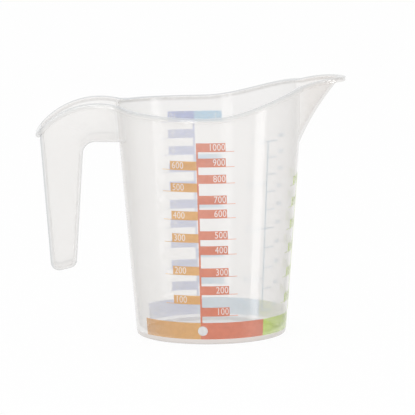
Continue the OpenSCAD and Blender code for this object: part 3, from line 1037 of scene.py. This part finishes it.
class Flat:
    """A print drawn flat, in millimetres: x runs round the wall from the scale's upright line,
    y is the height. Loose points are where lines start."""

    def __init__(self):
        self.bm = bmesh.new()
        self.digit = self.bm.faces.layers.float.new("digit")

    def polygon(self, points):
        self.bm.faces.new([self.bm.verts.new((x, y, 0)) for x, y in points])

    def rect(self, x0, x1, y0, y1):
        self.polygon([(x0, y0), (x1, y0), (x1, y1), (x0, y1)])

    def number(self, text, x, y, size, width, block=None, turned=False):
        """A number with its middle at (x, y), alone or filling its own shape in a block
        (x0, y0, width, height). Its width is a share of its size."""
        if block:
            self.add_faces(text, x, y, size, width, block, turned)
        self.add_faces(text, x, y, size, width, None, turned)

    def add_faces(self, text, x, y, size, width, block, turned):
        """The faces of a number, which are marked as digits, or of a block round it."""
        obj = made("number", bpy.data.meshes.new("number"))
        x0, y0, w, h = block or (0, 0, 1, 1)
        run_tree(obj, *NUMBERS, {
            "Number": text, "Number Width": size * width * (-1 if turned else 1),
            "Number Height": size, "Place X": float(x - x0), "Place Y": float(y - y0),
            "Block Width": float(w), "Block Height": float(h), "With Block": bool(block)})
        verts = [self.bm.verts.new((v.co.x + x0, v.co.y + y0, 0)) for v in obj.data.vertices]
        for polygon in obj.data.polygons:
            face = self.bm.faces.new([verts[i] for i in polygon.vertices])
            face[self.digit] = 0.0 if block else 1.0
        bpy.data.objects.remove(obj)

    def lean(self, slope, slant=0.0):
        """Sets what stands above the band askew, as the print is: slope lifts it along x, and
        slant moves it along x below the full mark."""
        for v in self.bm.verts:
            if v.co.y > BAND_Z + BAND_H + INK_LIFT / 2:
                v.co.y += slope * v.co.x
                v.co.x += slant * (FULL_MARK_H - v.co.y)

    def line_at(self, x, y):
        self.bm.verts.new((x, y, 0))

    def cut_up(self):
        """Cuts the faces into narrow strips, so that they bend round the wall."""
        xs = [v.co.x for v in self.bm.verts]
        for k in range(int(min(xs) / STRIP_W) - 1, int(max(xs) / STRIP_W) + 2):
            cut = k * STRIP_W
            faces = [f for f in self.bm.faces
                     if min(v.co.x for v in f.verts) < cut < max(v.co.x for v in f.verts)]
            parts = set(faces)
            for f in faces:
                parts.update(f.edges)
                parts.update(f.verts)
            if parts:
                bmesh.ops.bisect_plane(self.bm, geom=list(parts), plane_co=(cut, 0, 0),
                                       plane_no=(1, 0, 0), dist=1e-5)

    def wrapped(self, name, angle, finish, lift=INK_LIFT, thickness=INK_T, line=TICK_T,
                run=TICK_RUN):
        """The print as a piece, with its upright line at an angle round the wall."""
        bmesh.ops.remove_doubles(self.bm, verts=self.bm.verts, dist=1e-4)
        self.cut_up()
        for f in self.bm.faces:
            f.normal_update()
            if f.normal.z < 0:
                f.normal_flip()
        mesh = bpy.data.meshes.new(name)
        self.bm.to_mesh(mesh)
        self.bm.free()
        obj = made(name, mesh)
        run_tree(obj, *PRINTS, {
            "Line Length": run, "Line Thickness": line,
            "Spine Angle": math.radians(angle), "Foot Radius": BASE_D / 2, "Taper": TAPER,
            "Lift": lift, "Ink Thickness": thickness, "Unit": MM, "Finish": finish})
        bm = bmesh.new()
        bm.from_mesh(obj.data)
        bmesh.ops.recalc_face_normals(bm, faces=bm.faces)
        bm.to_mesh(obj.data)
        bm.free()
        return obj


NUMBERS = number_tree()
PRINTS = print_tree()


def band(flat, angle, start, end, notch=0):
    """The colour band between two angles. A notch leaves out its part of the bare disc: at
    the start where it is 1, and at the end where it is -1."""
    low, high = BAND_Z, BAND_Z + BAND_H
    turns = [math.radians(a - angle) for a in (start, end)]
    sides = [[(turn * cup_r(y), y) for y in even(low, high, 4)] for turn in turns]
    if notch:
        middle, r = (low + high) / 2, DISC_D / 2
        first = math.acos(-DISC_SHIFT / r)
        last = first if notch > 0 else first - 2 * math.pi
        arc = [(DISC_SHIFT + r * math.cos(t), middle + r * math.sin(t))
               for t in even(-first, last, 20)]
        sides[0 if notch > 0 else 1] = [(0, low)] + arc + [(0, high)]
    flat.polygon(sides[1] + sides[0][::-1])


def scale_block(flat, side, share, text, margin, block_w, block_h=BLOCK_H):
    """A block beside the upright line with its number at a margin from the far end, and the
    line that runs on from it."""
    z = fill_z(share)
    near = SPINE_W / 2 + INK_LIFT
    x0 = near if side > 0 else -near - block_w
    place = near + block_w - margin
    flat.number(text, side * place, z + block_h / 2, NUMBER_H, NUMBER_W,
                (x0, z, block_w, block_h))
    start = near + block_w + INK_LIFT
    flat.line_at(start if side > 0 else -start - TICK_RUN, z)


def spine(flat, share, block_h=BLOCK_H):
    """The scale's upright line, from the band to the top of the block at a share."""
    flat.rect(-SPINE_W / 2, SPINE_W / 2, BAND_Z + BAND_H + INK_LIFT, fill_z(share) + block_h)


def orange_print(finish):
    flat = Flat()
    band(flat, -SIDE_SPINE, -NEAR_SECTOR_END, -SIDE_SPINE, -1)
    for k, share in enumerate(ORANGE_SHARES):
        scale_block(flat, -1, share, str(100 * (k + 1)), ORANGE_MARGIN, NEAR_BLOCK_W)
    flat.lean(0, NEAR_SLANT)
    return flat.wrapped("orange_print", -SIDE_SPINE, finish)


def red_print(finish):
    flat = Flat()
    band(flat, -SIDE_SPINE, -SIDE_SPINE, -SECTOR_EDGE, 1)
    spine(flat, RED_SHARES[-1])
    for k, share in enumerate(RED_SHARES):
        margin = RED_TOP_MARGIN if share == RED_SHARES[-1] else RED_MARGIN
        scale_block(flat, 1, share, str(100 * (k + 1)), margin, NEAR_BLOCK_W)
    flat.lean(0, NEAR_SLANT)
    return flat.wrapped("red_print", -SIDE_SPINE, finish)


def green_print(finish):
    flat = Flat()
    band(flat, 0, -SECTOR_EDGE, SECTOR_EDGE)
    spine(flat, GREEN_SHARES[-1])
    for k, share in enumerate(GREEN_SHARES):
        text = str(100 * (k + 1))
        scale_block(flat, 1, share, text, GREEN_MARGIN, GREEN_FAR_BLOCK_W)
        scale_block(flat, -1, share, text, GREEN_MARGIN, NEAR_BLOCK_W)
    return flat.wrapped("green_print", 0, finish)


def far_block_h(share):
    return TOP_BLOCK_H if share == 1 else BLOCK_H


def blue_print(finish):
    flat = Flat()
    band(flat, SIDE_SPINE, SECTOR_EDGE, SIDE_SPINE)
    for text, share in FRACTIONS:
        block_w = TOP_BLUE_BLOCK_W if share == 1 else FAR_BLOCK_W
        scale_block(flat, -1, share, text, BLUE_MARGIN, block_w, far_block_h(share))
    return flat.wrapped("blue_print", SIDE_SPINE, finish)


def violet_print(finish):
    flat = Flat()
    band(flat, SIDE_SPINE, SIDE_SPINE, FAR_SECTOR_END)
    spine(flat, 1, TOP_BLOCK_H)
    for k, share in enumerate(TENTHS):
        scale_block(flat, 1, share, str(k + 1), VIOLET_MARGIN, FAR_BLOCK_W,
                    far_block_h(share))
    flat.lean(VIOLET_SLOPE)
    return flat.wrapped("violet_print", SIDE_SPINE, finish)


def inner_scale(finish):
    """The raised scale inside the near wall, which reads right from inside the cup."""
    flat = Flat()
    flat.rect(-RIB_W / 2, RIB_W / 2, fill_z(TENTHS[0]), fill_z(1) + RIB_W)
    near = RIB_W / 2 + INK_LIFT
    for k, share in enumerate(TENTHS):
        z = fill_z(share)
        flat.line_at(near, z)
        flat.number(str(100 * (k + 1)), RIB_NUMBER_X, z + RIB_NUMBER_RISE, RIB_NUMBER_H,
                    RIB_NUMBER_W, turned=True)
    for text, share in FRACTIONS:
        z = fill_z(share)
        flat.line_at(-near - RIB_TICK_RUN, z)
        flat.number(text, RIB_FRACTION_X, z + RIB_FRACTION_RISE, RIB_FRACTION_H,
                    RIB_FRACTION_W, turned=True)
    flat.lean(0, RIB_SLANT)
    return flat.wrapped("inner_scale", -RIB_SPINE, finish, lift=-WALL - INK_LIFT,
                        thickness=-RIB_T, line=RIB_W, run=RIB_TICK_RUN)


# Stage

def photo_camera():
    """The photograph's view."""
    data = bpy.data.cameras.new("photo_camera")
    camera = made("photo_camera", data)
    level = math.cos(CAMERA_ELEVATION)
    back = Vector((math.sin(CAMERA_AZIMUTH) * level, -math.cos(CAMERA_AZIMUTH) * level,
                   math.sin(CAMERA_ELEVATION)))
    turn = (-back).to_track_quat("-Z", "Y").to_matrix()
    turn = (turn @ Matrix.Rotation(CAMERA_ROLL, 3, "Z")).to_4x4()
    camera.matrix_world = Matrix.Translation(CAMERA_AIM + back * CAMERA_DISTANCE) @ turn
    data.sensor_width = SENSOR_W
    data.lens = SENSOR_W * CAMERA_LENS / FRAME_SIZE
    data.shift_x = CAMERA_SHIFT_X / FRAME_SIZE
    data.shift_y = CAMERA_SHIFT_Y / FRAME_SIZE
    data.clip_start, data.clip_end = 0.1, 60
    bpy.context.scene.camera = camera


def seen(graph):
    """1 for what the eye sees, straight, mirrored or through something, 0 for other light."""
    rays = [graph.node("ShaderNodeLightPath", output=k)
            for k in ("Is Camera Ray", "Is Glossy Ray", "Is Transmission Ray")]
    either = graph.math("MAXIMUM", rays[0], rays[1])
    return graph.math("MAXIMUM", either, rays[2])


def white_surround(strength):
    """A white background that lights the object with the given strength."""
    world = bpy.data.worlds.new("studio")
    bpy.context.scene.world = world
    world.use_nodes = True
    world.node_tree.nodes.clear()
    graph = Graph(world.node_tree)
    light = graph.node("ShaderNodeBackground", {"Color": WHITE, "Strength": strength})
    white = graph.node("ShaderNodeBackground", {"Color": WHITE, "Strength": 1.0})
    mixed = graph.node("ShaderNodeMixShader", {0: seen(graph), 1: light, 2: white})
    graph.node("ShaderNodeOutputWorld", {"Surface": mixed})


def studio_floor():
    """White paper that keeps a faint shadow."""
    signs = ((-1, -1), (1, -1), (1, 1), (-1, 1))
    corners = [(FLOOR_HALF * x, FLOOR_HALF * y, 0) for x, y in signs]
    floor = mesh_piece("studio_floor", corners, [(0, 1, 2, 3)])
    mat, graph = material("floor_paper")
    paper = graph.node("ShaderNodeBsdfDiffuse", {"Color": (0.95, 0.95, 0.95, 1)})
    white = graph.node("ShaderNodeEmission", {"Color": WHITE, "Strength": 1.0})
    mixed = graph.node("ShaderNodeMixShader", {0: seen(graph) * 0.94, 1: paper, 2: white})
    graph.node("ShaderNodeOutputMaterial", {"Surface": mixed})
    floor.data.materials.append(mat)
    floor.visible_glossy = False


def reflection_card(name, from_angle, to_angle, low, high, strength):
    """A bright upright card that shows only as a reflection in the plastic. Its edges are given
    as angles round the jug, in degrees from the spout, and as heights."""
    start, end = [(CARD_DISTANCE * math.cos(math.radians(a)),
                   CARD_DISTANCE * math.sin(math.radians(a))) for a in (from_angle, to_angle)]
    corners = [(*start, low), (*end, low), (*end, high), (*start, high)]
    card = mesh_piece(name, corners, [(0, 1, 2, 3)])
    mat, graph = material(name)
    mat.cycles.emission_sampling = "NONE"
    glow = graph.node("ShaderNodeEmission", {"Color": WHITE, "Strength": strength})
    graph.node("ShaderNodeOutputMaterial", {"Surface": glow})
    card.data.materials.append(mat)
    card.visible_camera = False
    card.visible_diffuse = False
    card.visible_transmission = False
    card.visible_shadow = False


def soft_lamp(name, place, aim, width, height, radiance):
    """A rectangular lamp, placed and sized in metres, that sends out the given radiance."""
    data = bpy.data.lights.new(name, "AREA")
    data.shape = "RECTANGLE"
    data.size, data.size_y = width, height
    data.energy = radiance * math.pi * width * height
    lamp = made(name, data)
    lamp.location = place
    lamp.rotation_euler = (Vector(aim) - Vector(place)).to_track_quat("-Z", "Y").to_euler()
    lamp.visible_camera = False


def ready(piece, finish, slot, *nodes):
    """Gives a piece its finish, its body and the CAD nodes that it stands for."""
    piece.data.materials.clear()
    piece.data.materials.append(finish)
    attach(piece, "root")
    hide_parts(*nodes)


photo_camera()
white_surround(strength=0.9)
studio_floor()
soft_lamp("key", place=(-0.6, -1.8, 1.2), aim=(0, 0, 0.08), width=1.2, height=1.2, radiance=1.4)
reflection_card("low_card", -31, -17, low=-540, high=-80, strength=8.0)
reflection_card("side_card", -25, -9, low=-40, high=210, strength=9.0)
reflection_card("front_card", -123, -107, low=-60, high=210, strength=8.0)

wall_finish = clear_plastic("clear_plastic", opacity=0.36, tint=(0.89, 0.865, 0.84))
# Painted shade: the raised ribs are the jug's own plastic, drawn darker and bluer so they show
rib_finish = clear_plastic("ribs_painted_shade", opacity=0.9, tint=(0.48, 0.66, 0.78))
ready(jug_moulding(), wall_finish, "clear_plastic",
      "cup_wall", "cup_floor", "foot_ring", "rim_lip", "pouring_spout", "spout_lip",
      "handle_bridge", "handle_grip", "handle_lip")
ready(inner_scale(rib_finish), rib_finish, "clear_plastic", "inner_scale_ribs")

PRINTED = (
    ("orange", orange_print, dict(colour=(0.80, 0.46, 0.18), opacity=0.72, thin=0.10)),
    ("red", red_print, dict(colour=(0.76, 0.25, 0.15), opacity=0.74, thin=0.30)),
    ("green", green_print, dict(colour=(0.57, 0.755, 0.04), opacity=0.62, fade=0.75)),
    ("blue", blue_print, dict(colour=(0.30, 0.72, 1.0), opacity=0.42)),
    ("violet", violet_print, dict(colour=(0.36, 0.48, 0.92), opacity=0.52)),
)
for shade, make_print, look in PRINTED:
    finish = ink(shade + "_ink", **look)
    ready(make_print(finish), finish, shade + "_ink", shade + "_scale_print")

bpy.context.scene.cycles.transparent_max_bounces = 32
bpy.context.scene.view_settings.view_transform = "Standard"
